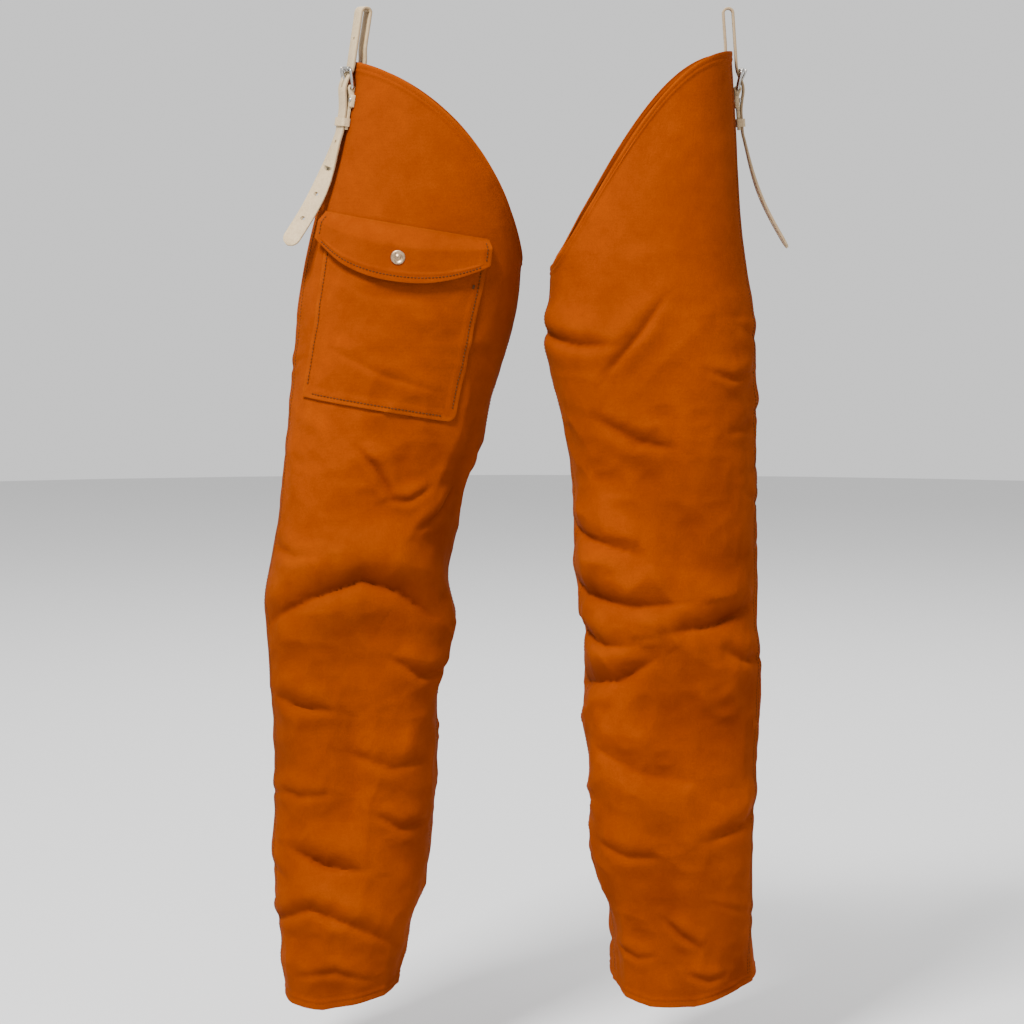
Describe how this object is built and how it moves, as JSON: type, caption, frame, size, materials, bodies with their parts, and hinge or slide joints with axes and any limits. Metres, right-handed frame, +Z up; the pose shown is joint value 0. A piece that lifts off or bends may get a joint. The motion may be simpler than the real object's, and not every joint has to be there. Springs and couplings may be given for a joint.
{
  "type": "chainsaw chaps",
  "caption": "Pair of separate full-leg canvas chainsaw chaps with padded fronts, each hung from a belt by a buckled leather strap, with a snap pocket.",
  "frame": {"origin": "middle of the wearer's belt line, at the belt's mid height", "axes": "+Z up, +X towards the wearer's left, +Y backwards; the fronts face -Y"},
  "size_m": [0.524, 0.2192, 0.9783],
  "materials": {
    "canvas": "heavy orange-brown suede-like canvas, matt, creased and worn",
    "pad_fibre": "loose layers of pale cut-resistant fibre",
    "lining": "smooth brown woven lining",
    "strap_leather": "ivory vegetable-tanned leather, matt, cut edges",
    "nickel": "worn nickel plate",
    "snap_metal": "antiqued brass snap"
  },
  "bodies": {
    "right_legging": {"right_front_panel_upper": "canvas", "right_back_panel_upper": "canvas", "right_pad_upper": "pad_fibre", "right_lining_upper": "lining", "right_strap": "strap_leather", "right_buckle_chape": "strap_leather", "right_buckle_frame": "nickel", "right_rivet_front": "nickel", "right_rivet_rear": "nickel", "right_burr_front": "nickel", "right_burr_rear": "nickel", "right_pocket": "canvas", "right_pocket_snap_stud": "snap_metal", "right_pocket_snap_post": "snap_metal"},
    "right_shin": {"right_front_panel_lower": "canvas", "right_back_panel_lower": "canvas", "right_pad_lower": "pad_fibre", "right_lining_lower": "lining"},
    "right_buckle_roller": {"right_buckle_roller": "nickel"},
    "right_buckle_tongue": {"right_buckle_tongue": "nickel"},
    "right_strap_keeper": {"right_strap_keeper": "strap_leather"},
    "right_strap_tail": {"right_strap_tail": "strap_leather"},
    "left_legging": {"left_front_panel_upper": "canvas", "left_back_panel_upper": "canvas", "left_pad_upper": "pad_fibre", "left_lining_upper": "lining", "left_strap": "strap_leather", "left_buckle_chape": "strap_leather", "left_buckle_frame": "nickel", "left_rivet_front": "nickel", "left_rivet_rear": "nickel", "left_burr_front": "nickel", "left_burr_rear": "nickel"},
    "left_shin": {"left_front_panel_lower": "canvas", "left_back_panel_lower": "canvas", "left_pad_lower": "pad_fibre", "left_lining_lower": "lining"},
    "left_buckle_roller": {"left_buckle_roller": "nickel"},
    "left_buckle_tongue": {"left_buckle_tongue": "nickel"},
    "left_strap_keeper": {"left_strap_keeper": "strap_leather"},
    "left_strap_tail": {"left_strap_tail": "strap_leather"},
    "pocket_flap": {"right_pocket_flap": "canvas", "right_pocket_snap_cap": "snap_metal", "right_pocket_snap_socket": "snap_metal"}
  },
  "joints": [
    {"name": "left_legging_swing", "type": "hinge", "parent": "right_legging", "child": "left_legging", "pos_m": [0.1841, -0.0121, 0], "axis": [1, 0, 0], "range_deg": [-45, 25]},
    {"name": "right_knee", "type": "hinge", "parent": "right_legging", "child": "right_shin", "pos_m": [-0.1845, 0, -0.56], "axis": [1, 0, 0], "range_deg": [0, 60]},
    {"name": "right_tail_flex", "type": "hinge", "parent": "right_legging", "child": "right_strap_tail", "pos_m": [-0.19603, -0.06297, -0.09852], "axis": [-0.3979, 0.9173, 0.0158], "range_deg": [-8, 45], "stiffness_Nm_per_rad": 0.3},
    {"name": "right_tongue_hinge", "type": "hinge", "parent": "right_legging", "child": "right_buckle_tongue", "pos_m": [-0.18765, -0.06006, -0.05638], "axis": [0.3979, -0.9173, -0.0158], "range_deg": [0, 35]},
    {"name": "right_roller_turn", "type": "hinge", "parent": "right_legging", "child": "right_buckle_roller", "pos_m": [-0.18962, -0.06124, -0.03781], "axis": [-0.3979, 0.9173, 0.0158], "continuous": true},
    {"name": "right_keeper_slide", "type": "slide", "parent": "right_legging", "child": "right_strap_keeper", "axis": [0.1467, 0.0466, 0.9881], "range_m": [0, 0.008]},
    {"name": "left_knee", "type": "hinge", "parent": "left_legging", "child": "left_shin", "pos_m": [0.1305, 0, -0.56], "axis": [1, 0, 0], "range_deg": [0, 60]},
    {"name": "left_tail_flex", "type": "hinge", "parent": "left_legging", "child": "left_strap_tail", "pos_m": [0.19776, -0.01271, -0.09941], "axis": [-0.024, -0.9997, 0.0033], "range_deg": [-8, 45], "stiffness_Nm_per_rad": 0.3},
    {"name": "left_tongue_hinge", "type": "hinge", "parent": "left_legging", "child": "left_buckle_tongue", "pos_m": [0.19241, -0.01244, -0.05668], "axis": [0.024, 0.9997, -0.0033], "range_deg": [0, 35]},
    {"name": "left_roller_turn", "type": "hinge", "parent": "left_legging", "child": "left_buckle_roller", "pos_m": [0.19622, -0.01247, -0.03836], "axis": [-0.024, -0.9997, 0.0033], "continuous": true},
    {"name": "left_keeper_slide", "type": "slide", "parent": "left_legging", "child": "left_strap_keeper", "axis": [-0.0711, 0.005, 0.9975], "range_m": [0, 0.008]},
    {"name": "pocket_flap_hinge", "type": "hinge", "parent": "right_legging", "child": "pocket_flap", "pos_m": [-0.133, -0.09957, -0.187], "axis": [-0.9848, 0, 0.1736], "range_deg": [0, 85]}
  ]
}
